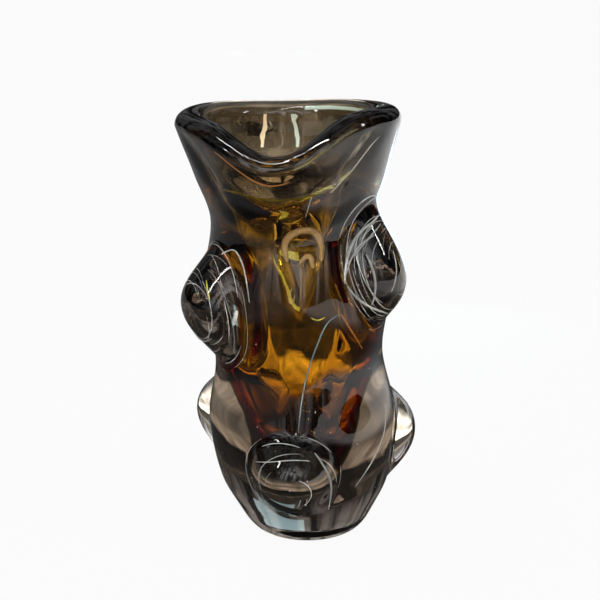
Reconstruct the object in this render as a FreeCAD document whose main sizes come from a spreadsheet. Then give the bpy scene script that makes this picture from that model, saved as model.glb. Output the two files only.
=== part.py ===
import FreeCAD, Part

import math
import os

# Gourd vase of cased glass: an amber lining, a smoke layer, a thick clear casing with a rolled lip,
# a clear pad at the base and six clear knobs. Millimetres, +Z up, the front towards -Y,
# the origin at the centre of the flat foot.

doc = FreeCAD.newDocument("GourdVase")

# Driving sizes: name, value and what it measures. Azimuths and spreads are degrees round the vase,
# from the front towards the right. The body is described by stations, each a step above the one below.
SIZES = [
    ("foot_radius", 42, "radius of the flat ground foot"),
    ("foot_edge_rise", 4, "height over which the edge of the foot is rounded"),
    ("foot_edge_radius", 49.5, "radius above the rounded edge"),
    ("heel_rise", 13.5, "step up to the heel"),
    ("heel_radius", 58, "radius at the heel"),
    ("hip_rise", 31, "step up to the hip"),
    ("hip_radius", 72, "radius at the hip"),
    ("lower_belly_rise", 50, "step up to the lower belly"),
    ("lower_belly_radius", 79, "radius of the lower belly"),
    ("waist_rise", 55, "step up to the waist"),
    ("waist_radius", 69.5, "radius at the waist"),
    ("upper_belly_rise", 55, "step up to the upper belly"),
    ("upper_belly_radius", 77, "radius of the upper belly"),
    ("neck_rise", 57, "step up to the neck"),
    ("neck_radius", 66, "radius at the narrowest part of the neck"),
    ("throat_rise", 38, "step up to the flare of the throat"),
    ("throat_radius", 77.5, "radius at the flare of the throat"),
    ("rim_rise", 38, "step up to where the lip starts to roll"),
    ("rim_radius", 89.5, "radius where the lip starts to roll"),
    ("lean", 16, "how far the middle of the rim stands to the left of the foot"),
    ("lip_width", 26, "width of the rolled lip"),
    ("lip_height", 12, "height of the roll"),
    ("shaped_height", 95, "height below the roll over which the mouth is shaped"),
    ("dip_depth", 23.5, "how far the lip dips at the front"),
    ("dip_azimuth", -5, "where the dip is deepest"),
    ("dip_spread", 29, "half width of the dip"),
    ("back_drop", 5.5, "how far the lip drops at the back"),
    ("back_azimuth", 185, "where the lip drops most at the back"),
    ("back_spread", 45, "half width of the drop at the back"),
    ("corner_rise", 8.5, "how far the right corner of the lip is lifted"),
    ("corner_azimuth", 52, "where the right corner is"),
    ("corner_spread", 52, "half width of the right corner"),
    ("cheek_depth", 4.5, "how far the mouth is drawn in beside the dip"),
    ("right_cheek_azimuth", 36, "where the right cheek is drawn in most"),
    ("left_cheek_azimuth", -58, "where the left cheek is drawn in most"),
    ("cheek_spread", 18, "half width of a cheek"),
    ("hollow_depth", 5, "depth of the hollow under the front of the lip"),
    ("hollow_drop", 31, "step from the roll down to the middle of the hollow"),
    ("hollow_half_height", 13, "half height of the hollow"),
    ("hollow_spread", 44, "half width of the hollow"),
    ("fold_depth", 3.5, "depth of the slanting folds below the corners"),
    ("fold_drop", 22, "step from the roll down to the middle of a fold"),
    ("fold_half_length", 30, "half length of a fold"),
    ("fold_half_width", 8, "half width of a fold"),
    ("fold_slope", 50, "slope of a fold"),
    ("right_fold_azimuth", 42, "where the right fold is"),
    ("left_fold_azimuth", -62, "where the left fold is"),
    ("throat_wall", 18, "glass at the throat"),
    ("neck_wall", 20, "glass at the neck"),
    ("upper_belly_wall", 30, "glass at the upper belly"),
    ("waist_wall", 31, "glass at the waist"),
    ("lower_belly_wall", 52, "glass at the lower belly"),
    ("bottom_thickness", 69, "solid glass under the well"),
    ("well_flat_radius", 8, "radius of the flat at the bottom of the well"),
    ("rim_amber", 1.8, "amber at the roll"),
    ("throat_amber", 1.8, "amber at the throat"),
    ("neck_amber", 1.8, "amber at the neck"),
    ("upper_belly_amber", 2.2, "amber at the upper belly"),
    ("waist_amber", 2.5, "amber at the waist"),
    ("lower_belly_amber", 3, "amber at the lower belly"),
    ("bottom_amber", 3, "amber under the well"),
    ("rim_smoke", 6, "smoke glass at the roll"),
    ("throat_smoke", 4, "smoke glass at the throat"),
    ("neck_smoke", 3, "smoke glass at the neck"),
    ("upper_belly_smoke", 2, "smoke glass at the upper belly"),
    ("waist_smoke", 0.8, "smoke glass at the waist"),
    ("lower_belly_smoke", 4, "smoke glass at the lower belly"),
    ("bottom_smoke", 8, "smoke glass under the well"),
    ("amber_top_height", 300, "height at which the amber lining ends"),
    ("pad_radius", 92, "half width of the dome between base pad and casing"),
    ("pad_height", 34, "height of that dome"),
    ("overrun", 20, "how far a cutting form goes on past the glass"),
    ("knob_upper_left_azimuth", -61, "where the upper left knob is"),
    ("knob_upper_left_step", -5, "step from the belly's middle up to the upper left knob"),
    ("knob_upper_left_proud", 23, "how far the upper left knob stands proud"),
    ("knob_upper_left_half_width", 44, "half width of the upper left knob"),
    ("knob_upper_left_half_height", 54, "half height of the upper left knob"),
    ("knob_upper_left_sink", 9, "how deep the upper left knob sits in the casing"),
    ("knob_upper_left_dent", 18, "how far the well is pushed in behind the upper left knob"),
    ("knob_upper_right_azimuth", 62, "where the upper right knob is"),
    ("knob_upper_right_step", 29, "step from the belly's middle up to the upper right knob"),
    ("knob_upper_right_proud", 23, "how far the upper right knob stands proud"),
    ("knob_upper_right_half_width", 43, "half width of the upper right knob"),
    ("knob_upper_right_half_height", 55, "half height of the upper right knob"),
    ("knob_upper_right_sink", 9, "how deep the upper right knob sits in the casing"),
    ("knob_upper_right_dent", 18, "how far the well is pushed in behind the upper right knob"),
    ("knob_upper_back_azimuth", 176, "where the knob at the back is"),
    ("knob_upper_back_step", 4, "step from the belly's middle up to the knob at the back"),
    ("knob_upper_back_proud", 24, "how far the knob at the back stands proud"),
    ("knob_upper_back_half_width", 44, "half width of the knob at the back"),
    ("knob_upper_back_half_height", 48, "half height of the knob at the back"),
    ("knob_upper_back_sink", 9, "how deep the knob at the back sits in the casing"),
    ("knob_upper_back_dent", 18, "how far the well is pushed in behind the knob at the back"),
    ("knob_lower_front_azimuth", -7, "where the lower front knob is"),
    ("knob_lower_front_step", -27, "step from the belly's middle up to the lower front knob"),
    ("knob_lower_front_proud", 24, "how far the lower front knob stands proud"),
    ("knob_lower_front_half_width", 42, "half width of the lower front knob"),
    ("knob_lower_front_half_height", 42, "half height of the lower front knob"),
    ("knob_lower_front_sink", 12, "how deep the lower front knob sits in the casing"),
    ("knob_lower_right_azimuth", 108, "where the lower right knob is"),
    ("knob_lower_right_step", -26, "step from the belly's middle up to the lower right knob"),
    ("knob_lower_right_proud", 23, "how far the lower right knob stands proud"),
    ("knob_lower_right_half_width", 44, "half width of the lower right knob"),
    ("knob_lower_right_half_height", 50, "half height of the lower right knob"),
    ("knob_lower_right_sink", 12, "how deep the lower right knob sits in the casing"),
    ("knob_lower_left_azimuth", -125, "where the lower left knob is"),
    ("knob_lower_left_step", -18, "step from the belly's middle up to the lower left knob"),
    ("knob_lower_left_proud", 28, "how far the lower left knob stands proud"),
    ("knob_lower_left_half_width", 44, "half width of the lower left knob"),
    ("knob_lower_left_half_height", 51, "half height of the lower left knob"),
    ("knob_lower_left_sink", 12, "how deep the lower left knob sits in the casing"),
]

# Knobs, each with the belly that carries it, and those with a dent of the well behind them
KNOBS = {
    "knob_upper_left": "upper_belly",
    "knob_upper_right": "upper_belly",
    "knob_upper_back": "upper_belly",
    "knob_lower_front": "lower_belly",
    "knob_lower_right": "lower_belly",
    "knob_lower_left": "lower_belly",
}
DENTED = ["knob_upper_left", "knob_upper_right", "knob_upper_back"]

# The seat of a knob is an ellipsoid, and the dent behind it a soft hollow, wider than the knob by these shares
SHARES = [("seat_width_share", 1.3), ("seat_height_share", 1.1), ("dent_width_share", 1.15)]

STATIONS = ["foot_edge", "heel", "hip", "lower_belly", "waist", "upper_belly", "neck", "throat", "rim"]
WELL_STATIONS = ["lower_belly", "waist", "upper_belly", "neck", "throat", "rim"]

# A knob falls away from its middle with this power, flat on top and soft at its edge
KNOB_POWER = 2.4

# How finely the curved surfaces are laid out, and how much closer the rows lie near the foot
COLUMNS = 84
WALL_ROWS = 52
LIP_ROWS = 12
WELL_ROWS = 32
FLOOR_ROWS = 9
MOUTH_ROWS = 4
ROW_POWER = 1.25
DEGREE = 3

# The skins close at these azimuths, clear of the knobs and of each other
GLASS_SEAM = 28
CORE_SEAM = 208


def write_sheet():
    """The sheet of driving sizes, the height of each station and the height of each knob."""
    rows = [(alias, value) for alias, value, meaning in SIZES] + SHARES
    below = "0"
    for station in STATIONS:
        rows.append((station + "_height", "=%s + %s_rise" % (below, station)))
        below = station + "_height"
    rows.append(("rim_wall", "=lip_width"))
    for name, belly in KNOBS.items():
        rows.append((name + "_height", "=%s_height + %s_step" % (belly, name)))
    sizes = doc.addObject("Spreadsheet::Sheet", "Sizes")
    for row, (alias, value) in enumerate(rows, start=1):
        sizes.set("A%d" % row, alias)
        sizes.set("B%d" % row, str(value))
        sizes.setAlias("B%d" % row, alias)
    doc.recompute()
    return sizes


sheet = write_sheet()


def size(alias):
    """One value of the sheet as a plain number."""
    return float(sheet.get(alias))


def smooth(points, place):
    """A smooth curve through (place, value) points, with no overshoot between them, read at one place."""
    places = [point[0] for point in points]
    values = [point[1] for point in points]
    last = len(points) - 1
    slopes = [(values[k + 1] - values[k]) / (places[k + 1] - places[k]) for k in range(last)]
    tangents = [slopes[0]]
    for before, after in zip(slopes, slopes[1:]):
        level = before * after <= 0
        tangents.append(0 if level else 2 * before * after / (before + after))
    tangents.append(slopes[-1])
    k = max(0, min(last - 1, sum(1 for start in places if start <= place) - 1))
    span = places[k + 1] - places[k]
    t = (place - places[k]) / span
    rise = t * t * (3 - 2 * t)
    return (
        values[k] + (values[k + 1] - values[k]) * rise
        + span * t * (1 - t) * ((1 - t) * tangents[k] - t * tangents[k + 1])
    )


def turn(degrees):
    """An angle brought between half a turn left and half a turn right."""
    return (degrees + 180) % 360 - 180


def hill(azimuth, middle, spread):
    """A soft hill of height one round an azimuth."""
    return math.exp(-((turn(azimuth - middle) / spread) ** 2))


OUTLINE = [(0, size("foot_radius"))] + [(size(s + "_height"), size(s + "_radius")) for s in STATIONS]
WALLS = [(size(s + "_height"), size(s + "_wall")) for s in WELL_STATIONS]


def shaping(height):
    """The share of the mouth's shaping that is felt at a height, none below and all of it at the roll."""
    start = size("rim_height") - size("shaped_height")
    up = min(1, max(0, (height - start) / size("shaped_height")))
    return up * up * (3 - 2 * up)


def lift(azimuth):
    """How far the lip is lifted or dips at an azimuth."""
    dip = size("dip_depth") * hill(azimuth, size("dip_azimuth"), size("dip_spread"))
    back = size("back_drop") * hill(azimuth, size("back_azimuth"), size("back_spread"))
    corner = size("corner_rise") * hill(azimuth, size("corner_azimuth"), size("corner_spread"))
    return corner - dip - back


def cheeks(azimuth):
    """How far the mouth is drawn in at an azimuth."""
    right = hill(azimuth, size("right_cheek_azimuth"), size("cheek_spread"))
    left = hill(azimuth, size("left_cheek_azimuth"), size("cheek_spread"))
    return size("cheek_depth") * (right + left)


def away_from(name, azimuth, height):
    """How far a place is from the middle of a knob, one at the knob's edge."""
    sideways = math.radians(turn(azimuth - size(name + "_azimuth"))) * size(KNOBS[name] + "_radius")
    upwards = height - size(name + "_height")
    return math.hypot(sideways / size(name + "_half_width"), upwards / size(name + "_half_height"))


def knobs(azimuth, height):
    """How far the knobs stand proud of the body at a place on the outer wall."""
    proud = 0
    for name in KNOBS:
        away = min(1, away_from(name, azimuth, height))
        proud += size(name + "_proud") * (1 - away ** KNOB_POWER) ** 2
    return proud


def dents(azimuth, height):
    """How far the well is pushed in behind the upper knobs at a place on its wall."""
    pushed = 0
    for name in DENTED:
        away = min(1, away_from(name, azimuth, height) / size("dent_width_share"))
        pushed += size(name + "_dent") * (1 - away ** 2) ** 2
    return pushed


def folds(azimuth, height):
    """How deep the slanting folds below the lip's corners are at a place on the outer wall."""
    slope = math.radians(size("fold_slope"))
    upwards = height - size("rim_height") + size("fold_drop")
    depth = 0
    for side, middle in ((1, "right_fold_azimuth"), (-1, "left_fold_azimuth")):
        sideways = side * math.radians(turn(azimuth - size(middle))) * size("throat_radius")
        along = sideways * math.cos(slope) + upwards * math.sin(slope)
        across = upwards * math.cos(slope) - sideways * math.sin(slope)
        spread = (along / size("fold_half_length")) ** 2 + (across / size("fold_half_width")) ** 2
        depth += size("fold_depth") * math.exp(-spread)
    return depth


def hollow(azimuth, height):
    """How deep the hollow under the front of the lip is at a place on the outer wall."""
    away = (height - size("rim_height") + size("hollow_drop")) / size("hollow_half_height")
    return size("hollow_depth") * math.exp(-away ** 2) * hill(azimuth, size("dip_azimuth"), size("hollow_spread"))


def relief(azimuth, height):
    """How far the outer wall stands proud of its plain outline."""
    return knobs(azimuth, height) - folds(azimuth, height) - hollow(azimuth, height)


def place(azimuth, height, radius, lifted, above=0):
    """A point at a height and radius, moved as the mouth was shaped and as the body leans."""
    angle = math.radians(azimuth)
    radius -= shaping(height) * cheeks(azimuth)
    return FreeCAD.Vector(
        radius * math.sin(angle) - size("lean") * height / size("rim_height"),
        -radius * math.cos(angle),
        height + above + lifted * shaping(height) * lift(azimuth),
    )


def well_radius(height):
    """The radius of the well inside the amber lining."""
    return smooth(OUTLINE, height) - smooth(WALLS, height)


def wall_rows():
    """Rows of the outer wall from the foot up to the lip, as functions of the azimuth."""
    for k in range(WALL_ROWS):
        height = size("rim_height") * (k / WALL_ROWS) ** ROW_POWER
        radius = smooth(OUTLINE, height)
        yield lambda azimuth, h=height, r=radius: place(azimuth, h, r + relief(azimuth, h), 1)


def lip_rows():
    """Rows over the rolled lip, from outside to inside, half an ellipse in section."""
    rim = size("rim_height")
    for k in range(LIP_ROWS):
        roll = math.pi * k / LIP_ROWS
        radius = size("rim_radius") - size("lip_width") / 2 * (1 - math.cos(roll))
        fade = (1 + math.cos(roll)) / 2
        above = size("lip_height") * math.sin(roll)
        yield lambda azimuth, r=radius, f=fade, a=above: place(azimuth, rim, r + f * relief(azimuth, rim), 1, a)


def depth_of(layers, station):
    """How deep some layers of glass go behind the well's surface at a station."""
    return sum(size(station + "_" + layer) for layer in layers)


def well_rows(layers):
    """Rows from the lip down the well and across its rounded floor, on the outside of some layers."""
    low = size("lower_belly_height")
    depths = [(size(s + "_height"), depth_of(layers, s)) for s in WELL_STATIONS]
    for k in range(WELL_ROWS):
        height = low + (size("rim_height") - low) * (1 - k / WELL_ROWS)
        radius = well_radius(height) + smooth(depths, height)
        yield lambda azimuth, h=height, r=radius: place(azimuth, h, r - dents(azimuth, h), 1)
    flat = size("well_flat_radius")
    drop = low - size("bottom_thickness") + depth_of(layers, "bottom")
    reach = well_radius(low) + depth_of(layers, "lower_belly") - flat
    for k in range(FLOOR_ROWS + 1):
        bend = math.pi / 2 * k / FLOOR_ROWS
        height = low - drop * math.sin(bend)
        radius = flat + reach * math.cos(bend)
        yield lambda azimuth, h=height, r=radius: place(azimuth, h, r, 1)


def mouth_rows(layers):
    """Rows from a level ring above the mouth down to the lip, on the outside of some layers."""
    rim = size("rim_height")
    top = size("lip_height") + size("overrun")
    radius = well_radius(rim) + depth_of(layers, "rim")
    for k in range(MOUTH_ROWS):
        share = k / MOUTH_ROWS
        yield lambda azimuth, s=share: place(azimuth, rim, radius, s, top * (1 - s))


def closed_form(name, rows, seam):
    """A solid whose skin runs round along the rows, closed by a level face at its first and last row."""
    azimuths = [seam + 360 * k / COLUMNS for k in range(COLUMNS)]
    rings = [[row(azimuth) for azimuth in azimuths] for row in rows]
    poles = [[ring[k] for ring in rings] for k in range(COLUMNS)]
    spans = len(rings) - DEGREE
    skin = Part.BSplineSurface()
    skin.buildFromPolesMultsKnots(
        poles,
        [1] * (COLUMNS + 1),
        [DEGREE + 1] + [1] * (spans - 1) + [DEGREE + 1],
        [float(k) for k in range(COLUMNS + 1)],
        [float(k) for k in range(spans + 1)],
        True,
        False,
        DEGREE,
        DEGREE,
    )
    around = skin.toShape()
    ends = [edge for edge in around.Edges if edge.BoundBox.ZLength < size("foot_edge_rise") / 2 and edge.isClosed()]
    caps = [Part.Face(Part.Wire(edge)) for edge in ends]
    solid = Part.Solid(Part.Shell([around] + caps))
    solid.fix(Part.Precision.confusion(), Part.Precision.confusion(), Part.Precision.confusion())
    form = doc.addObject("Part::Feature", name)
    form.Label = name
    form.Shape = solid
    form.Placement = FreeCAD.Placement()
    return form


def seat_form(name, belly):
    """The ellipsoid that a knob is gathered in, standing out from the belly at the knob's azimuth."""
    out = "(Sizes.%s_radius + Sizes.%s_proud)" % (belly, name)
    seat = doc.addObject("Part::Ellipsoid", name + "_seat")
    seat.setExpression("Radius1", "Sizes.%s_half_height * Sizes.seat_height_share" % name)
    seat.setExpression("Radius2", "Sizes.%s_proud + Sizes.%s_sink" % (name, name))
    seat.setExpression("Radius3", "Sizes.%s_half_width * Sizes.seat_width_share" % name)
    lean = "Sizes.lean * Sizes.%s_height / Sizes.rim_height" % name
    seat.setExpression("Placement.Base.x", "%s * sin(Sizes.%s_azimuth) - %s" % (out, name, lean))
    seat.setExpression("Placement.Base.y", "-%s * cos(Sizes.%s_azimuth)" % (out, name))
    seat.setExpression("Placement.Base.z", "Sizes.%s_height" % name)
    seat.setExpression("Placement.Rotation.Angle", "Sizes.%s_azimuth - 90" % name)
    return seat


def pair(kind, name, base, tool):
    """A cut or a common of two forms."""
    piece = doc.addObject(kind, name)
    piece.Label = name
    piece.Base = base
    piece.Tool = tool
    return piece


# The whole of the glass with its well, and the two cores that the coloured layers are laid on
glass_body = closed_form("glass_body", [*wall_rows(), *lip_rows(), *well_rows([])], GLASS_SEAM)
amber_core = closed_form("amber_core", [*mouth_rows(["amber"]), *well_rows(["amber"])], CORE_SEAM)
both_layers = ["amber", "smoke"]
smoke_core = closed_form("smoke_core", [*mouth_rows(both_layers), *well_rows(both_layers)], CORE_SEAM)

# Amber lining, cut level where its gather ended
amber_reach = doc.addObject("Part::Cylinder", "amber_reach")
amber_reach.setExpression("Radius", "Sizes.rim_radius + Sizes.lean + Sizes.overrun")
amber_reach.setExpression("Height", "Sizes.amber_top_height")
amber_form = pair("Part::Common", "amber_form", amber_core, amber_reach)
amber_lining = pair("Part::Common", "amber_lining", glass_body, amber_form)

# Smoke layer, over the amber and on up into the lip
smoke_form = pair("Part::Cut", "smoke_form", smoke_core, amber_form)
smoke_layer = pair("Part::Common", "smoke_layer", glass_body, smoke_form)

# Base pad, under a low dome
pad_form = doc.addObject("Part::Ellipsoid", "pad_form")
pad_form.setExpression("Radius1", "Sizes.pad_height")
pad_form.setExpression("Radius2", "Sizes.pad_radius")
base_pad = pair("Part::Common", "base_pad", glass_body, pad_form)

# Knobs, each sunk in a seat of the casing, and the casing that is left round them
above_pad = pair("Part::Cut", "above_pad", glass_body, pad_form)
clear_glass = pair("Part::Cut", "clear_glass", above_pad, smoke_core)
seats = [seat_form(name, belly) for name, belly in KNOBS.items()]
knob_pieces = [pair("Part::Common", name, clear_glass, seat) for name, seat in zip(KNOBS, seats)]
all_seats = doc.addObject("Part::MultiFuse", "all_seats")
all_seats.Shapes = seats
clear_casing = pair("Part::Cut", "clear_casing", clear_glass, all_seats)

pieces = [amber_lining, smoke_layer, clear_casing, base_pad, *knob_pieces]

doc.recompute()
for part_object in doc.Objects:
    if "Invalid" in part_object.State or "Error" in part_object.State:
        raise RuntimeError("%s failed: %s" % (part_object.Name, part_object.State))
for piece in pieces:
    if piece.Shape.isNull() or not piece.Shape.isValid():
        raise RuntimeError("%s has no valid shape" % piece.Label)
    print("%-18s %d solid %9.0f mm3" % (piece.Label, len(piece.Shape.Solids), piece.Shape.Volume))

os.makedirs("parts", exist_ok=True)
for piece in pieces:
    piece.Shape.exportStep("parts/%s.step" % piece.Label)
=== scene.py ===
import math

import bpy
import numpy as np
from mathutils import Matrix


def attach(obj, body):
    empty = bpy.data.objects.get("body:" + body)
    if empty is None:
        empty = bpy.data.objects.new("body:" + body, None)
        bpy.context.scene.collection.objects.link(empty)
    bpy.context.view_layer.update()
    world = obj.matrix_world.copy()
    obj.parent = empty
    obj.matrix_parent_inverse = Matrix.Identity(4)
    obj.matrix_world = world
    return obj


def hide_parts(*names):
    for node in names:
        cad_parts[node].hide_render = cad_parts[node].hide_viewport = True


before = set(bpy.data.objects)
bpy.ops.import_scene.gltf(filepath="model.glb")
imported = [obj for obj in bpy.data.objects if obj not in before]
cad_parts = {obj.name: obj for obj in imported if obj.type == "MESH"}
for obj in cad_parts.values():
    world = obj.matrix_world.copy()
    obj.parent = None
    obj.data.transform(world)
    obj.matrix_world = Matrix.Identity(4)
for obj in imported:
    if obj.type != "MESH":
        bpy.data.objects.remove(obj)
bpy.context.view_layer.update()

# Camera: about a metre in front of the vase and half a metre above its foot, looking down at it.
camera_place = (-0.0064, -1.0, 0.5295)
camera_pitch = math.radians(18.4)
focal_pixels = 1294
frame_pixels = 600

camera_data = bpy.data.cameras.new("camera")
camera_data.sensor_width = 36
camera_data.lens = focal_pixels / frame_pixels * camera_data.sensor_width
camera = bpy.data.objects.new("camera", camera_data)
camera.location = camera_place
camera.rotation_euler = (math.pi / 2 - camera_pitch, 0, 0)
bpy.context.scene.collection.objects.link(camera)
bpy.context.scene.camera = camera
bpy.context.scene.view_settings.view_transform = "Standard"


# Polished skin of the whole vase, with the six knobs of water-clear glass that stand out of it.
# Light bends where it goes in and out here: up the outer wall, over the rolled lip and down the well.
outline_heights = np.array([0, 0.004, 0.0175, 0.0485, 0.0985, 0.1535, 0.2085, 0.2655, 0.3035, 0.3415])
outline_radii = np.array([0.042, 0.0495, 0.058, 0.072, 0.079, 0.0695, 0.077, 0.066, 0.0775, 0.0895])
well_heights = outline_heights[4:]
wall_thickness = np.array([0.052, 0.031, 0.030, 0.020, 0.018, 0.026])
belly_height = outline_heights[4]
rim_height = outline_heights[-1]
rim_radius = outline_radii[-1]
throat_radius = outline_radii[-2]
lean = 0.016
lip_width = 0.026
lip_height = 0.012
shaped_height = 0.095
bottom_thickness = 0.069
well_flat_radius = 0.008
# How far the lip dips at the front and the back and rises at its corner, each with its azimuth and its spread
dip = (0.0235, -5, 29)
back = (0.0055, 185, 45)
corner = (0.0085, 52, 52)
cheek_depth = 0.0045
cheeks_at = ((36, 18), (-58, 18))
hollow_depth = 0.005
hollow_drop = 0.031
hollow_half_height = 0.013
hollow_at = (-5, 44)
fold_depth = 0.0035
fold_drop = 0.022
fold_half_length = 0.03
fold_half_width = 0.008
fold_slope = math.radians(50)
folds_at = ((1, 42), (-1, -62))
ripple_depth = 0.00025
ripple_length = 0.05
polish_loss = 0.0011
ripple_waves = 6
well_ripple_share = 1.2
row_power = 1.15
knob_power = 2.4
# Each knob: azimuth and height of its middle, radius of its belly, how far it stands proud, half width,
# half height, and how deep it sits
knobs = {
    "upper_left": (-61, 0.2035, 0.077, 0.023, 0.044, 0.054, 0.009),
    "upper_right": (62, 0.2375, 0.077, 0.023, 0.043, 0.055, 0.009),
    "upper_back": (176, 0.2125, 0.077, 0.024, 0.044, 0.048, 0.009),
    "lower_front": (-7, 0.0715, 0.079, 0.024, 0.042, 0.042, 0.012),
    "lower_right": (108, 0.0725, 0.079, 0.023, 0.044, 0.05, 0.012),
    "lower_left": (-125, 0.0805, 0.079, 0.028, 0.044, 0.051, 0.012),
}
dent_width_share = 1.15
dents_behind = {"upper_left": 0.018, "upper_right": 0.018, "upper_back": 0.018}


def smooth(places, values, at):
    """Cubic pieces through values, each slope the harmonic mean of its neighbours, or level at a turn."""
    spans = np.diff(places)
    slopes = np.diff(values) / spans
    product = slopes[:-1] * slopes[1:]
    total = slopes[:-1] + slopes[1:]
    inner = np.where(product > 0, 2 * product / np.where(total == 0, 1, total), 0)
    tangents = np.concatenate([slopes[:1], inner, slopes[-1:]])
    k = np.clip(np.searchsorted(places, at, side="right") - 1, 0, len(spans) - 1)
    t = (at - places[k]) / spans[k]
    bend = spans[k] * t * (1 - t) * ((1 - t) * tangents[k] - t * tangents[k + 1])
    return values[k] + (values[k + 1] - values[k]) * t * t * (3 - 2 * t) + bend


def outline(height):
    """The plain radius of the body at a height."""
    return smooth(outline_heights, outline_radii, height)


def turn(degrees):
    """Angles brought between half a turn left and half a turn right."""
    return (degrees + 180) % 360 - 180


def hill(azimuth, middle, spread):
    """A bell curve of height one round an azimuth."""
    return np.exp(-((turn(azimuth - middle) / spread) ** 2))


def away_from(name, azimuth, height):
    """Distance from the middle of a knob, one at its edge."""
    at, middle, radius, _, half_width, half_height, _ = knobs[name]
    return np.hypot(np.radians(turn(azimuth - at)) * radius / half_width, (height - middle) / half_height)


def knob_relief(azimuth, height):
    """Each knob as one less the distance to a power, squared."""
    return sum(
        knob[3] * (1 - np.minimum(away_from(name, azimuth, height), 1) ** knob_power) ** 2
        for name, knob in knobs.items()
    )


def tool_marks(azimuth, height):
    """The hollow pressed in under the front of the lip and the two slanting folds, as bell curves."""
    away = (height - rim_height + hollow_drop) / hollow_half_height
    pressed = hollow_depth * np.exp(-away ** 2) * hill(azimuth, *hollow_at)
    upwards = height - rim_height + fold_drop
    for side, at in folds_at:
        sideways = side * np.radians(turn(azimuth - at)) * throat_radius
        along = sideways * math.cos(fold_slope) + upwards * math.sin(fold_slope)
        across = upwards * math.cos(fold_slope) - sideways * math.sin(fold_slope)
        fold = np.exp(-(along / fold_half_length) ** 2 - (across / fold_half_width) ** 2)
        pressed = pressed + fold_depth * fold
    return pressed


ripple_turns = np.random.default_rng(3).uniform(0, 2 * math.pi, (3, ripple_waves))


def ripple(azimuth, height):
    """Slow unevenness of hand-worked glass: cosine waves in many directions, fading at foot and lip."""
    share = height / rim_height
    waves = 0
    for heading, phase, stretch in ripple_turns.T:
        sideways = np.sin(np.radians(azimuth) + phase) * rim_radius
        across = sideways * math.cos(heading) + height * math.sin(heading)
        waves = waves + np.cos(2 * math.pi * across / ripple_length + stretch)
    return ripple_depth * waves * 4 * share * (1 - share)


def dents(azimuth, height):
    """How far the well is pushed in behind the upper knobs, as one less the distance squared, squared."""
    return sum(
        dent * (1 - np.minimum(away_from(name, azimuth, height) / dent_width_share, 1) ** 2) ** 2
        for name, dent in dents_behind.items()
    )


def shaping(height):
    """The share of the mouth's shaping that is felt at a height, a smooth step up to the roll."""
    up = np.clip((height - rim_height + shaped_height) / shaped_height, 0, 1)
    return up * up * (3 - 2 * up)


def lift(azimuth):
    """How far the lip is lifted at its right corner, and dips at the front and the back."""
    raised = corner[0] * hill(azimuth, *corner[1:])
    dipped = dip[0] * hill(azimuth, *dip[1:])
    return raised - dipped - back[0] * hill(azimuth, *back[1:])


def placed(azimuth, height, radius, above=0):
    """Points at a radius, with the mouth drawn in at its cheeks and lifted, and the body leaning left."""
    radius = radius - shaping(height) * cheek_depth * sum(hill(azimuth, *at) for at in cheeks_at)
    angle = np.radians(azimuth)
    x = radius * np.sin(angle) - lean * height / rim_height
    y = -radius * np.cos(angle)
    return np.stack(np.broadcast_arrays(x, y, height + above + shaping(height) * lift(azimuth)), axis=-1)


def up_wall(azimuth, start, count, inset=0):
    """Rows up the outer wall from a height to the roll, closer near the foot, with heights as a power."""
    heights = start + (rim_height - start) * np.linspace(0, 1, count, endpoint=False)[:, None] ** row_power
    radii = outline(heights) - tool_marks(azimuth, heights) - ripple(azimuth, heights)
    return heights, radii - polish_loss - inset


def over_lip(azimuth, start, stop, count, inset=0):
    """Rows over the rolled lip, half an ellipse in section, between two angles of the roll."""
    roll = np.linspace(start, stop, count, endpoint=False)[:, None]
    outer_share = (1 + np.cos(roll)) / 2
    half_width = lip_width / 2 - inset - polish_loss * outer_share
    radius = rim_radius - lip_width / 2 + half_width * np.cos(roll)
    marks = tool_marks(azimuth, rim_height) * outer_share
    return placed(azimuth, rim_height, radius - marks, (lip_height - polish_loss - inset) * np.sin(roll))


def well_radius(height):
    """The radius of the well at a height, before the dents."""
    return outline(height) - smooth(well_heights, wall_thickness, height)


def down_well(azimuth, depth, count, floor_count, top=rim_height):
    """Rows down the well and along a quarter ellipse to its flat floor, at a depth in the glass."""
    down = np.linspace(0, 1, count, endpoint=False)[:, None]
    heights = top + (belly_height - top) * down
    radii = well_radius(heights) + depth(heights) - well_ripple_share * ripple(azimuth, heights)
    wall = placed(azimuth, heights, radii - dents(azimuth, heights))
    bend = np.linspace(0, math.pi / 2, floor_count + 1)[:, None]
    reach = outline(belly_height) - wall_thickness[0] + depth(belly_height) - well_flat_radius
    drop = belly_height - bottom_thickness + depth(bottom_thickness)
    floor = placed(azimuth, belly_height - drop * np.sin(bend), well_flat_radius + reach * np.cos(bend))
    return np.concatenate([np.broadcast_to(wall, (count, *wall.shape[1:])), floor])


def closed(rings):
    """A closed form: points, quads round and along the rings, and a fan on the middle of each end ring."""
    grid = np.concatenate(rings)
    rows, columns = grid.shape[:2]
    ids = np.arange(rows * columns).reshape(rows, columns)
    right = np.roll(ids, -1, axis=1)
    quads = np.stack([ids[:-1], right[:-1], right[1:], ids[1:]], axis=-1).reshape(-1, 4)
    first = np.stack([np.full(columns, rows * columns), right[0], ids[0]], axis=-1)
    last = np.stack([np.full(columns, rows * columns + 1), ids[-1], right[-1]], axis=-1)
    points = np.concatenate([grid.reshape(-1, 3), [grid[0].mean(axis=0)], [grid[-1].mean(axis=0)]])
    return points, quads, np.concatenate([first, last])


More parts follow.
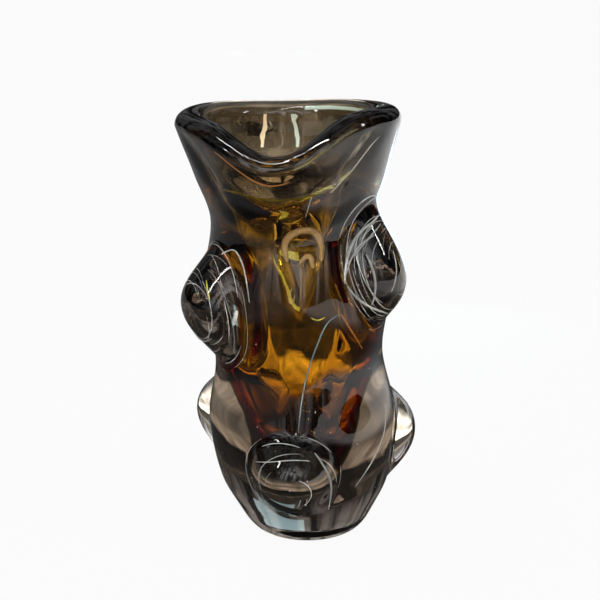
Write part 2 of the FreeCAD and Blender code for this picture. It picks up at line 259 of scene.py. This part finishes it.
def make_piece(name, *forms):
    """One mesh of one or more closed forms, which rides on the body."""
    points = np.concatenate([form[0] for form in forms])
    starts = np.cumsum([0] + [len(form[0]) for form in forms])
    faces = []
    for start, (own_points, quads, triangles) in zip(starts, forms):
        faces += (quads + start).tolist() + (triangles + start).tolist()
    mesh = bpy.data.meshes.new(name)
    mesh.from_pydata(points.tolist(), [], faces)
    mesh.shade_smooth()
    piece = bpy.data.objects.new(name, mesh)
    bpy.context.scene.collection.objects.link(piece)
    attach(piece, "root")
    return piece


def no_depth(height):
    """The well's own surface."""
    return 0 * height


columns = 320
skin_rows = 190
lip_rows = 22
well_rows = 60
floor_rows = 14
azimuths = np.arange(columns) * 360 / columns
skin_heights, skin_radii = up_wall(azimuths, 0, skin_rows)
skin_wall = placed(azimuths, skin_heights, skin_radii + knob_relief(azimuths, skin_heights))
skin_lip = over_lip(azimuths, 0, math.pi, lip_rows)
skin_well = down_well(azimuths, no_depth, well_rows, floor_rows)
skin = make_piece("skin", closed([skin_wall, skin_lip, skin_well]))
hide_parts(*["knob_" + name for name in knobs])


def absorb(tree, colour, density):
    """Colour that builds up with the way through the glass."""
    volume = tree.nodes.new("ShaderNodeVolumeAbsorption")
    volume.inputs["Color"].default_value = (*colour, 1)
    volume.inputs["Density"].default_value = density
    tree.links.new(volume.outputs[0], tree.nodes["Material Output"].inputs["Volume"])


def noise(tree, scale):
    """Soft noise over the object's own coordinates, with so many clouds to a metre along each axis."""
    place = tree.nodes.new("ShaderNodeTexCoord")
    stretch = tree.nodes.new("ShaderNodeMapping")
    stretch.inputs["Scale"].default_value = scale
    clouds = tree.nodes.new("ShaderNodeTexNoise")
    clouds.inputs["Scale"].default_value = 1
    tree.links.new(place.outputs["Object"], stretch.inputs["Vector"])
    tree.links.new(stretch.outputs["Vector"], clouds.inputs["Vector"])
    return clouds.outputs["Fac"]


def spread(tree, value, old, new):
    """A value stretched in a straight line from an old range to a new one, and held at its ends."""
    node = tree.nodes.new("ShaderNodeMapRange")
    node.inputs["From Min"].default_value, node.inputs["From Max"].default_value = old
    node.inputs["To Min"].default_value, node.inputs["To Max"].default_value = new
    tree.links.new(value, node.inputs["Value"])
    return node.outputs["Result"]


polish_depth = 0.0006
skin_glass = bpy.data.materials.new("skin_glass")
skin_glass.use_nodes = True
tree = skin_glass.node_tree
shader = tree.nodes["Principled BSDF"]
waves = noise(tree, scale=(45, 45, 45))
tree.links.new(spread(tree, waves, (0.35, 0.65), (0, 0.012)), shader.inputs["Roughness"])
tree.links.new(spread(tree, waves, (0.35, 0.65), (0.97, 1)), shader.inputs["Base Color"])
bump = tree.nodes.new("ShaderNodeBump")
bump.inputs["Strength"].default_value = 0.3
bump.inputs["Distance"].default_value = polish_depth
tree.links.new(waves, bump.inputs["Height"])
tree.links.new(bump.outputs["Normal"], shader.inputs["Normal"])
shader.inputs["Transmission Weight"].default_value = 1
shader.inputs["IOR"].default_value = 1.5
absorb(tree, colour=(0.95, 0.945, 0.94), density=30)
skin.data.materials.append(skin_glass)


# Smoky casing, the thick gather between the layers and the knobs, and the pad gathered under it.
# Both are fused into the skin, so they have no surface of their own, only their tint.
seam_gap = 0.00015
pad_radius = 0.092
pad_height = 0.034
pad_edge_height = 0.0253
coarse_columns = 200
coarse_azimuths = np.arange(coarse_columns) * 360 / coarse_columns
casing_rows = 110
casing_lip_rows = 12
casing_well_rows = 50
casing_floor_rows = 12
dome_rows = 20
pad_rows = 16


def layer_glass(name, colour, density):
    """Coloured glass with no skin of its own, because it is fused into the clear glass."""
    material = bpy.data.materials.new(name)
    material.use_nodes = True
    material.node_tree.nodes.remove(material.node_tree.nodes["Principled BSDF"])
    absorb(material.node_tree, colour, density)
    return material


def dome(azimuth, count, lowered):
    """Rings of the pad's dome from the middle outwards, its height an ellipse."""
    radii = outline(pad_edge_height) * np.linspace(0, 1, count, endpoint=False)[1:, None]
    heights = pad_height * np.sqrt(1 - (radii / pad_radius) ** 2) - lowered
    return placed(azimuth, heights, radii)


def knob_seats(azimuth, height):
    """How deep the knobs sit in the casing, as one less the distance squared, squared."""
    return sum(
        knob[6] * (1 - np.minimum(away_from(name, azimuth, height), 1) ** 2) ** 2
        for name, knob in knobs.items()
    )


layer_heights = np.array([0.069, 0.0985, 0.1535, 0.2085, 0.2655, 0.3035, 0.3415])
amber_thickness = np.array([0.003, 0.003, 0.0025, 0.0022, 0.0018, 0.0018, 0.0018])
smoke_thickness = np.array([0.008, 0.002, 0.0006, 0.0015, 0.0015, 0.003, 0.006])
amber_top_height = 0.3


def amber_depth(height):
    """How deep the amber goes behind the well's surface."""
    return smooth(layer_heights, amber_thickness, height)


def smoke_depth(height):
    """How deep the smoke goes behind the well's surface."""
    return amber_depth(height) + smooth(layer_heights, smoke_thickness, height)


def behind_smoke(height):
    """Just behind the smoke."""
    return smoke_depth(height) + seam_gap


def roll_angle(depth):
    """Where on the roll a depth behind the well's surface lies, from the ellipse of the lip."""
    return math.acos(2 * depth / lip_width - 1)


casing_heights, casing_radii = up_wall(coarse_azimuths, pad_edge_height, casing_rows, seam_gap)
casing_seats = knob_seats(coarse_azimuths, casing_heights)
casing_wall = placed(coarse_azimuths, casing_heights, casing_radii - casing_seats)
casing_lip = over_lip(coarse_azimuths, 0, roll_angle(behind_smoke(rim_height)), casing_lip_rows, seam_gap)
casing_well = down_well(coarse_azimuths, behind_smoke, casing_well_rows, casing_floor_rows)
casing_bottom = dome(coarse_azimuths, dome_rows, 0)
casing = make_piece("casing", closed([casing_bottom, casing_wall, casing_lip, casing_well]))
casing.data.materials.append(layer_glass("casing_glass", colour=(0.50, 0.46, 0.42), density=30))
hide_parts("clear_casing")

pad_wall_heights = np.linspace(seam_gap, pad_edge_height, pad_rows, endpoint=False)[:, None]
pad_wall = placed(coarse_azimuths, pad_wall_heights, outline(pad_wall_heights) - seam_gap)
pad = make_piece("pad", closed([pad_wall, dome(coarse_azimuths, dome_rows, seam_gap)[::-1]]))
pad.data.materials.append(layer_glass("pad_glass", colour=(0.64, 0.61, 0.58), density=40))
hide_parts("base_pad")


# Smoke layer: a thin gather of grey-brown glass over the amber, and on up into the lip. It is thick in
# the lip and under the well and thin at the waist, and its tint is all that shows of it.
smoke_well_rows = 60
smoke_floor_rows = 12
smoke_lip_rows = 6
level_steps = 20


def level_height(azimuth, height):
    """The unlifted height of a level line, found by stepping back by the lift a few times."""
    found = height + 0 * azimuth
    for _ in range(level_steps):
        found = height - shaping(found) * lift(azimuth)
    return found


def before_smoke(height):
    """Just behind the amber, or just behind the well's surface above it."""
    return np.where(height < amber_top_height, amber_depth(height), 0) + seam_gap


smoke_outside = down_well(coarse_azimuths, smoke_depth, smoke_well_rows, smoke_floor_rows)[::-1]
smoke_start = roll_angle(smoke_depth(rim_height))
smoke_lip = over_lip(coarse_azimuths, smoke_start, math.pi, smoke_lip_rows, seam_gap)
smoke_inside = down_well(coarse_azimuths, before_smoke, smoke_well_rows, smoke_floor_rows)
smoke_gather = make_piece("smoke_gather", closed([smoke_outside, smoke_lip, smoke_inside]))
smoke_gather.data.materials.append(layer_glass("smoke_glass", colour=(0.68, 0.62, 0.50), density=500))
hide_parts("smoke_layer")


# Amber lining: the first bubble, a thin cup of amber glass that lines the well and ends level below the
# throat. The smoke was gathered over it, so it has no surface of its own and only tints the light.
amber_rows = 50
amber_floor_rows = 12


def before_amber(height):
    """Just behind the well's surface."""
    return seam_gap + 0 * height


amber_top = level_height(coarse_azimuths, amber_top_height)
amber_outside = down_well(coarse_azimuths, amber_depth, amber_rows, amber_floor_rows, amber_top)[::-1]
amber_inside = down_well(coarse_azimuths, before_amber, amber_rows, amber_floor_rows, amber_top)
amber_gather = make_piece("amber_gather", closed([amber_outside, amber_inside]))
amber_gather.data.materials.append(layer_glass("amber_glass", colour=(0.955, 0.80, 0.10), density=900))
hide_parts("amber_lining")


# Air lines, stray threads and seeds: hair-fine lines of air shut in where each knob was pressed on and
# turned, drawn-out threads of pale and coloured glass under the skin, and bubbles. All lie in the glass.
# Their silver-white is a painted glint on the air lines, seeds and white threads. The honey arch, hook and
# loop are a painted refraction at the back knob, the orange line under the lip is a painted reflection,
# and the straw bead on the amber's top edge is a painted glint.
# Silver-white: a painted glint, standing in for light caught by the air lines, seeds and fine lines
silver_glint = (0.92, 0.94, 0.90)
straw = (0.95, 0.85, 0.05)
pale_blue = (0.42, 0.62, 0.66)
beige = (0.62, 0.54, 0.42)
orange = (0.75, 0.25, 0.01)
# Honey: a painted refraction, the bright horseshoe seen through the back knob
honey_refraction = (0.58, 0.34, 0.10)
thread_sides = 6
flatness = 0.45
rows_per_point = 9
# Each picked thread: colour, thickness, depth under the skin, how far above its picks it is laid, and the
# picks, chosen as pixels across and down the photograph's frame
picked_threads = {
    "front_streak": (pale_blue, 0.0011, 0.0015, 0, (
        (344, 315), (330, 318), (322, 332), (313, 358), (305, 382), (299, 415), (298, 440))),
    # Painted highlights over and beside the lower front knob, standing in for reflections on its edge
    "over_front_knob": (silver_glint, 0.0009, 0.001, 0, ((251, 462), (275, 460), (300, 459), (312, 463))),
    "beside_front_knob": (silver_glint, 0.0016, 0.001, 0, ((312, 450), (326, 466), (333, 490), (328, 515))),
    "neck_streak": (beige, 0.0006, 0.001, 0, ((315, 190), (309, 205), (305, 220))),
    # A painted highlight along the lower right fold
    "lower_right_fold": (silver_glint, 0.0016, 0.0015, 0, ((386, 400), (388, 425), (372, 465), (352, 493))),
    # The hook and loop, with the arch below, are a painted refraction of bright floor through the back knob
    "hook_in_arch": (honey_refraction, 0.0048, 0.008, 0.002, (
        (299, 272), (305, 264), (312, 260), (315, 268), (315, 276))),
    "loop_under_arch": (honey_refraction, 0.0012, 0.004, 0.0015, (
        (293, 291), (289, 296), (288, 303), (291, 310), (294, 305), (295, 297))),
    "waist_smile": (straw, 0.0009, 0.0015, 0, ((310, 317), (315, 321), (321, 321), (326, 317))),
    "left_knob_straw": (straw, 0.0018, 0.004, 0, ((202, 279), (204, 290), (207, 304))),
    # Silver-white lines round the left and right knobs: painted glints on fine lines in the glass
    "left_knob_arc": (silver_glint, 0.0014, 0.0015, 0, (
        (216, 257), (230, 247), (239, 253), (247, 281), (249, 309))),
    "left_knob_wedge": (silver_glint, 0.004, 0.0025, 0, ((231, 328), (233, 318), (236, 310))),
    "right_knob_shoulder": (silver_glint, 0.0018, 0.0015, 0, (
        (346, 280), (349, 266), (356, 250), (366, 240), (379, 234))),
    "right_knob_upright": (silver_glint, 0.0024, 0.0015, 0, (
        (366, 253), (372, 262), (377, 280), (376, 296), (372, 308))),
    "right_knob_foot": (silver_glint, 0.002, 0.0015, 0, (
        (347, 284), (353, 294), (364, 304), (378, 311), (391, 315))),
    "right_knob_edge": (silver_glint, 0.0014, 0.0015, 0, ((393, 247), (398, 262), (397, 280), (391, 295))),
    "right_knob_top": (silver_glint, 0.0014, 0.0015, 0, ((351, 262), (361, 247), (374, 231), (383, 222))),
    "waist_streak": (orange, 0.0012, 0.0025, 0, ((341, 312), (348, 325), (358, 340), (366, 352))),
}
# Each laid thread: colour, thickness, depth under the skin, and the azimuths and heights of its route.
# A scratch script worked these out on earlier shapes of the lip and knobs, and some were moved by hand
laid_threads = {
    "lip_beige": (beige, 0.0013, 0.0015, (
        (57, 50.8, 45, 35.8, 22.5), (0.334, 0.328, 0.315, 0.3055, 0.302))),
    # A painted glint round the right knob
    "right_knob_ring": (silver_glint, 0.0028, 0.002, (
        (66, 50.8, 40.2, 34.2, 31.8), (0.2735, 0.272, 0.26, 0.2445, 0.226))),
    # A painted reflection: the orange line under the lip
    "lip_orange": (orange, 0.0009, 0.003, (
        (-41, -28.2, -20.8, -13.5, -5.2, 3.2), (0.3405, 0.337, 0.334, 0.332, 0.332, 0.335))),
    # The arch: a painted refraction of bright floor seen through the back knob's edge
    "arch": (honey_refraction, 0.0068, 0.008, (
        (-3, -6.5, -6, 0.5, 8.5, 17, 21.5, 21.5, 19),
        (0.2455, 0.2535, 0.266, 0.276, 0.278, 0.273, 0.2635, 0.2535, 0.2445))),
}
search_half_turn = 110
search_turn_step = 0.25
search_from = 0.002
search_rise_step = 0.0005
air_lines = {
    "upper_left": 26, "upper_right": 44, "upper_back": 12,
    "lower_front": 9, "lower_right": 18, "lower_left": 8,
}
line_away_shares = (0.35, 1)
line_drift_shares = (-0.18, 0.1)
line_turns = (0.5, 2.2)
line_depths = (0.0008, 0.004)
line_thicknesses = (0.0003, 0.0009)
seed_count = 70
seed_turn = 0.3
seed_heights = (0.01, 0.3)
seed_lengths = (0.0005, 0.0015)
seed_depths = (0.002, 0.012)
seed_thicknesses = (0.0004, 0.001)
amber_edge_from = -52
amber_edge_to = 24
amber_edge_rows = 60
amber_edge_lift = 0.001
amber_edge_thickness = 0.0026
chance = np.random.default_rng(12)


def on_skin(azimuth, height, depth):
    """Points at a depth under the skin."""
    surface = outline(height) - tool_marks(azimuth, height) + knob_relief(azimuth, height)
    return placed(azimuth, height, surface - depth)


search_azimuths, search_heights = np.meshgrid(
    np.arange(-search_half_turn, search_half_turn, search_turn_step),
    np.arange(search_from, rim_height, search_rise_step),
)
from_camera = on_skin(search_azimuths, search_heights, 0) - np.array(camera_place)
ahead_of_camera = from_camera[..., 1] * math.cos(camera_pitch) - from_camera[..., 2] * math.sin(camera_pitch)
above_camera = from_camera[..., 1] * math.sin(camera_pitch) + from_camera[..., 2] * math.cos(camera_pitch)
pixels_across = frame_pixels / 2 + focal_pixels * from_camera[..., 0] / ahead_of_camera
pixels_down = frame_pixels / 2 - focal_pixels * above_camera / ahead_of_camera
facing = np.gradient(pixels_across, axis=1) > 0


def route_under(picks, raised):
    """The azimuths and heights of the skin under some picks, to a tenth of a degree and of a millimetre."""
    nearest = []
    for across, down in picks:
        misses = (pixels_across - across) ** 2 + (pixels_down - down) ** 2
        nearest.append(np.argmin(np.where(facing, misses, np.inf)))
    heights = search_heights.ravel()[nearest] + raised
    return np.round(search_azimuths.ravel()[nearest], 1), np.round(heights, 4)


def thread(points, azimuth, thickness):
    """A tube along points, its radius a half ellipse that closes towards both ends."""
    along = np.gradient(points, axis=0)
    along /= np.linalg.norm(along, axis=1, keepdims=True)
    outwards = np.stack([np.sin(np.radians(azimuth)), -np.cos(np.radians(azimuth)), 0 * azimuth], axis=-1)
    side = np.cross(outwards, along)
    side /= np.linalg.norm(side, axis=1, keepdims=True)
    share = (np.arange(len(points)) + 0.5) / len(points)
    radius = (thickness * np.sqrt(share * (1 - share)))[:, None, None]
    angle = (np.arange(thread_sides) * 2 * math.pi / thread_sides)[None, :, None]
    ring = side[:, None] * np.cos(angle) + flatness * np.cross(along, side)[:, None] * np.sin(angle)
    return closed([points[:, None] + radius * ring])


def drawn(route, depth, thickness):
    """A thread along straight runs between places on the skin, its corners rounded by a running mean."""
    knots = np.arange(len(route[0]))
    at = np.linspace(0, knots[-1], len(knots) * rows_per_point)
    window = np.ones(2 * rows_per_point + 1) / (2 * rows_per_point + 1)
    azimuth, height = [
        np.convolve(np.pad(np.interp(at, knots, places), rows_per_point, "edge"), window, "valid")
        for places in route
    ]
    return thread(on_skin(azimuth, height, depth), azimuth, thickness)


def air_line(name):
    """A line at a nearly steady distance round a knob, over part of a turn."""
    at, middle, radius, _, half_width, half_height, _ = knobs[name]
    share = np.linspace(0, 1, 3 * rows_per_point)
    away = chance.uniform(*line_away_shares) + chance.uniform(*line_drift_shares) * share
    angle = chance.uniform(0, 2 * math.pi) + chance.uniform(*line_turns) * share
    azimuth = at + np.degrees(away * half_width * np.cos(angle) / radius)
    height = middle + away * half_height * np.sin(angle)
    depth = chance.uniform(*line_depths)
    return thread(on_skin(azimuth, height, depth), azimuth, chance.uniform(*line_thicknesses))


def seed():
    """A short drop at a random place in the glass."""
    azimuth = chance.uniform(0, 360) + np.linspace(0, seed_turn, rows_per_point)
    height = chance.uniform(*seed_heights) + np.linspace(0, chance.uniform(*seed_lengths), rows_per_point)
    depth = chance.uniform(*seed_depths)
    return thread(on_skin(azimuth, height, depth), azimuth, chance.uniform(*seed_thicknesses))


# A straw-coloured bead along the front of the amber's top edge: a painted glint where that edge catches the
# light
edge_azimuths = np.linspace(amber_edge_from, amber_edge_to, amber_edge_rows)
edge_heights = level_height(edge_azimuths, amber_top_height)
edge_radii = well_radius(edge_heights) + amber_depth(edge_heights) / 2 - dents(edge_azimuths, edge_heights)
edge_points = placed(edge_azimuths, edge_heights + amber_edge_lift, edge_radii)
forms = [(straw, thread(edge_points, edge_azimuths, amber_edge_thickness))]
for colour, thickness, depth, raised, picks in picked_threads.values():
    forms.append((colour, drawn(route_under(picks, raised), depth, thickness)))
for colour, thickness, depth, route in laid_threads.values():
    forms.append((colour, drawn(route, depth, thickness)))
# The air lines and seeds are real lines of air and bubbles, coloured silver-white as a painted glint
forms += [(silver_glint, air_line(name)) for name, count in air_lines.items() for _ in range(count)]
forms += [(silver_glint, seed()) for _ in range(seed_count)]
threads = make_piece("air_lines", *[form for colour, form in forms])
thread_colours = np.concatenate([np.tile((*colour, 1), (len(form[0]), 1)) for colour, form in forms])
colour_layer = threads.data.attributes.new("thread_colour", "FLOAT_COLOR", "POINT")
colour_layer.data.foreach_set("color", thread_colours.ravel())
# Threads' material: the colour attribute on a plain rough surface, so its glints, arch and orange line are
# painted light
threads_and_painted_light = bpy.data.materials.new("threads_and_painted_light")
threads_and_painted_light.use_nodes = True
tree = threads_and_painted_light.node_tree
own_colour = tree.nodes.new("ShaderNodeAttribute")
own_colour.attribute_name = "thread_colour"
cloud = noise(tree, scale=(400, 400, 400))
fade = tree.nodes.new("ShaderNodeMix")
fade.data_type = "RGBA"
fade.blend_type = "MULTIPLY"
fade.inputs["Factor"].default_value = 0.6
tree.links.new(own_colour.outputs["Color"], fade.inputs["A"])
tree.links.new(cloud, fade.inputs["B"])
tree.links.new(fade.outputs["Result"], tree.nodes["Principled BSDF"].inputs["Base Color"])
tree.links.new(cloud, tree.nodes["Principled BSDF"].inputs["Roughness"])
threads.data.materials.append(threads_and_painted_light)


# Studio: a pale floor and a white room. What comes through the glass sees a painted pool of light on the
# floor round the vase, with painted shadow at its foot, and soft window bands; what the glass reflects is
# dimmer, and painted brighter on the right than on the left.
floor_half = 6
floor_drop = 0.0003
white_share = 0.95
pool_strength = 1.9
pool_colour = (1, 0.88, 0.72, 1)
# Painted brightness of the floor seen through the glass, by distance from the foot in metres: painted shadow
# near the foot, painted rings of light further out
pool_stops = (
    (0, 0.02), (0.08, 0.04), (0.105, 0.04), (0.125, 0.4), (0.155, 1.2), (0.175, 0.6), (0.2, 0.6),
    (0.22, 1.35), (0.28, 1.35), (0.3, 0.03), (0.52, 0.06), (0.62, 0.3), (0.74, 0.3), (0.82, 0.12), (1, 0.15),
)
far_reach = (0.25, 0.6)
side_reach = (0.2, 0.5)
right_reach = (-0.4, 0.4)
least_reflected = 0.04
room_strength = 0.18
room_reflected = 0.18
backdrop_strength = 0.956


def feed(tree, value, socket):
    """A value joined to a socket. A plain number or colour is set on the socket itself."""
    if isinstance(value, bpy.types.NodeSocket):
        tree.links.new(value, socket)
    else:
        socket.default_value = value


def combined(tree, operation, first, *others):
    """Values joined one after the other by an operation, such as a product or a maximum."""
    for other in others:
        node = tree.nodes.new("ShaderNodeMath")
        node.operation = operation
        feed(tree, first, node.inputs[0])
        feed(tree, other, node.inputs[1])
        first = node.outputs[0]
    return first


def chosen(tree, share, first, second, kind="FLOAT"):
    """The first value where the share is zero and the second where it is one."""
    node = tree.nodes.new("ShaderNodeMix")
    node.data_type = kind
    sockets = [socket for socket in node.inputs if socket.enabled]
    for value, socket in zip((share, first, second), sockets):
        feed(tree, value, socket)
    return next(socket for socket in node.outputs if socket.enabled)


def ray_kinds(tree):
    """Shares that are one for what the camera sees, what comes through the glass and what it reflects."""
    light_path = tree.nodes.new("ShaderNodeLightPath")
    return [light_path.outputs["Is %s Ray" % kind] for kind in ("Camera", "Transmission", "Glossy")]


floor_mesh = bpy.data.meshes.new("floor")
corners = [(x * floor_half, y * floor_half, 0) for x, y in ((-1, -1), (1, -1), (1, 1), (-1, 1))]
floor_mesh.from_pydata(corners, [], [(0, 1, 2, 3)])
floor = bpy.data.objects.new("floor", floor_mesh)
floor.location.z = -floor_drop
bpy.context.scene.collection.objects.link(floor)
floor_paint = bpy.data.materials.new("floor_paint")
floor_paint.use_nodes = True
tree = floor_paint.node_tree
paint = tree.nodes["Principled BSDF"]
paint.inputs["Base Color"].default_value = (0.85, 0.85, 0.85, 1)
paint.inputs["Roughness"].default_value = 0.6
seen, through, glossy = ray_kinds(tree)
place = tree.nodes.new("ShaderNodeTexCoord")
distance = tree.nodes.new("ShaderNodeVectorMath")
distance.operation = "LENGTH"
tree.links.new(place.outputs["Object"], distance.inputs[0])
axes = tree.nodes.new("ShaderNodeSeparateXYZ")
tree.links.new(place.outputs["Object"], axes.inputs[0])
# Painted light and shadow on the floor for what comes through the glass: dark at the foot, bright rings
# further out
pool = tree.nodes.new("ShaderNodeValToRGB")
while len(pool.color_ramp.elements) < len(pool_stops):
    pool.color_ramp.elements.new(0.5)
for element, (stop, value) in zip(pool.color_ramp.elements, pool_stops):
    element.position = stop
    element.color = (value, value, value, 1)
tree.links.new(distance.outputs["Value"], pool.inputs["Fac"])
clouds = spread(tree, noise(tree, scale=(26, 5, 1)), (0.4, 0.6), (0.5, 1.35))
pool_light = combined(tree, "MULTIPLY", pool.outputs["Color"], clouds, pool_strength)
# Painted reflection on the floor: brighter far off, to the sides and to the right
far = spread(tree, distance.outputs["Value"], far_reach, (0, 1))
to_the_right = spread(tree, axes.outputs["X"], right_reach, (0.3, 1.3))
sideways = spread(tree, combined(tree, "ABSOLUTE", axes.outputs["X"], 0), side_reach, (0.06, 1))
beside = combined(tree, "MULTIPLY", far, sideways, to_the_right)
reflected_light = combined(tree, "MAXIMUM", beside, least_reflected)
strength = chosen(tree, seen, chosen(tree, through, reflected_light, pool_light), 1)
white = tree.nodes.new("ShaderNodeEmission")
tree.links.new(strength, white.inputs["Strength"])
tree.links.new(chosen(tree, through, (1, 1, 1, 1), pool_colour, "RGBA"), white.inputs["Color"])
lit_share = combined(tree, "MULTIPLY", combined(tree, "MAXIMUM", seen, through, glossy), white_share)
mix = tree.nodes.new("ShaderNodeMixShader")
tree.links.new(lit_share, mix.inputs[0])
tree.links.new(paint.outputs[0], mix.inputs[1])
tree.links.new(white.outputs[0], mix.inputs[2])
tree.links.new(mix.outputs[0], tree.nodes["Material Output"].inputs["Surface"])
floor_mesh.materials.append(floor_paint)

world = bpy.data.worlds.new("studio")
bpy.context.scene.world = world
world.use_nodes = True
tree = world.node_tree
seen, through, glossy = ray_kinds(tree)
axes = tree.nodes.new("ShaderNodeSeparateXYZ")
tree.links.new(tree.nodes.new("ShaderNodeTexCoord").outputs["Generated"], axes.inputs[0])
bands = spread(tree, noise(tree, scale=(8, 8, 0.6)), (0.42, 0.58), (0.15, 1.6))
ahead = spread(tree, axes.outputs["Y"], (-0.9, -0.5), (10, 1))
upwards = spread(tree, axes.outputs["Z"], (0, 0.5), (0.25, 1.25))
sky = combined(tree, "MULTIPLY", upwards, bands, ahead)
reflected = combined(tree, "MULTIPLY", sky, room_reflected)
room = chosen(tree, glossy, room_strength, chosen(tree, through, reflected, sky))
backdrop = combined(tree, "MULTIPLY", seen, backdrop_strength)
tree.links.new(combined(tree, "MAXIMUM", room, backdrop), tree.nodes["Background"].inputs["Strength"])
tree.nodes["Background"].inputs["Color"].default_value = (1, 1, 1, 1)


def soft_lamp(name, place, aim, width, height, watts, colour, on_camera):
    """An area lamp at a place, turned towards a point."""
    data = bpy.data.lights.new(name, "AREA")
    data.shape = "RECTANGLE"
    data.size = width
    data.size_y = height
    data.energy = watts
    data.color = colour
    lamp = bpy.data.objects.new(name, data)
    lamp.location = place
    direction = np.array(aim) - np.array(place)
    tilt = math.acos(direction[2] / np.linalg.norm(direction)) - math.pi
    heading = math.atan2(direction[1], direction[0]) + math.pi / 2
    lamp.rotation_euler = (tilt, 0, heading)
    lamp.visible_camera = on_camera
    bpy.context.scene.collection.objects.link(lamp)


white_light = (1, 1, 1)
# Each lamp: its place, the point it faces, width, height, watts, colour, and whether the camera sees it
lamps = {
    "left_softbox": ((-0.9, -0.7, 1.1), (0, 0, 0.2), 0.1, 0.3, 1.8, white_light, True),
    "low_strip": ((0.15, 0.6, 0.115), (0, 0, 0.1), 0.28, 0.12, 0.34, (0.5, 0.8, 1), False),
    "left_gleam": ((-0.2, 3, 0.1), (-0.2, 0, 0.1), 0.03, 0.5, 0.15, (1, 0.95, 0.85), False),
    "middle_gleam": ((0, 3, 0.1), (0, 0, 0.1), 0.03, 0.5, 0.15, (0.6, 0.85, 1), False),
    "right_softbox": ((1.0, -0.3, 0.9), (0, 0, 0.2), 0.08, 0.3, 1.8, white_light, True),
    "overhead_strip": ((-0.2, -0.2, 1.5), (0, 0, 0.3), 0.9, 0.04, 6, white_light, True),
}
for name, lamp in lamps.items():
    soft_lamp(name, *lamp)
